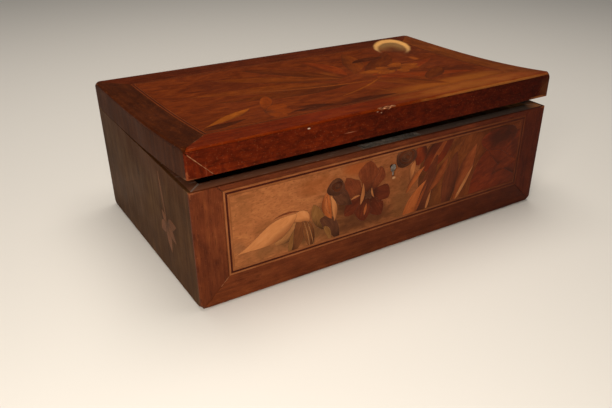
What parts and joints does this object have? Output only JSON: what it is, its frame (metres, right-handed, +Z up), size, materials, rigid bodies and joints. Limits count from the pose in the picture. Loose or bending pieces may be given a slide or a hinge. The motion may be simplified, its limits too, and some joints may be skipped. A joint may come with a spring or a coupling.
{
  "type": "storage box",
  "caption": "Small rectangular wooden box with a hinged, slightly cupped lid, veneered with banded borders and marquetry panels, for keeping small things.",
  "frame": {"origin": "centre of the bounding box at its underside, where the box stands", "axes": "+X along the front from left to right, +Y from the front to the back, +Z up"},
  "size_m": [0.3, 0.182, 0.1108],
  "materials": {
    "mahogany_banding": "old shellac polish, worn at the arrises",
    "side_veneer": "faded veneer under thin old polish",
    "front_marquetry": "burr ground with inlaid flowers and leaves, old shellac polish",
    "lid_marquetry": "burr ground with inlaid leaves, worn and ring-stained polish",
    "stringing": "light and dark lines under old polish",
    "carcase_wood": "bare, darkened with age",
    "hinge_brass": "tarnished",
    "lock_steel": "dull, lightly rusted"
  },
  "bodies": {
    "case": {"case_front_board": "carcase_wood", "case_back_board": "carcase_wood", "case_left_board": "carcase_wood", "case_right_board": "carcase_wood", "case_bottom_board": "carcase_wood", "case_left_veneer": "side_veneer", "case_right_veneer": "side_veneer", "case_back_veneer": "side_veneer", "front_banding_left": "mahogany_banding", "front_banding_right": "mahogany_banding", "front_banding_bottom": "mahogany_banding", "front_banding_top": "mahogany_banding", "front_stringing": "stringing", "front_marquetry_panel": "front_marquetry", "lock": "lock_steel", "hinge_case_leaf_left": "hinge_brass", "hinge_pin_left": "hinge_brass", "hinge_case_leaf_right": "hinge_brass", "hinge_pin_right": "hinge_brass"},
    "lid": {"lid_front_board": "carcase_wood", "lid_back_board": "carcase_wood", "lid_left_board": "carcase_wood", "lid_right_board": "carcase_wood", "lid_top_board": "carcase_wood", "lid_strike_plate": "lock_steel", "lid_left_veneer": "side_veneer", "lid_right_veneer": "side_veneer", "lid_back_veneer": "side_veneer", "lid_front_banding": "mahogany_banding", "lid_front_end_left": "mahogany_banding", "lid_front_end_right": "mahogany_banding", "lid_banding_front": "mahogany_banding", "lid_banding_back": "mahogany_banding", "lid_banding_left": "mahogany_banding", "lid_banding_right": "mahogany_banding", "lid_stringing": "stringing", "lid_marquetry_field": "lid_marquetry", "hinge_lid_leaf_left": "hinge_brass", "hinge_lid_leaf_right": "hinge_brass"}
  },
  "joints": [
    {"name": "lid_hinge", "type": "hinge", "parent": "case", "child": "lid", "pos_m": [0, 0.089, 0.08365], "axis": [-1, 0, 0], "range_deg": [0, 95]}
  ]
}
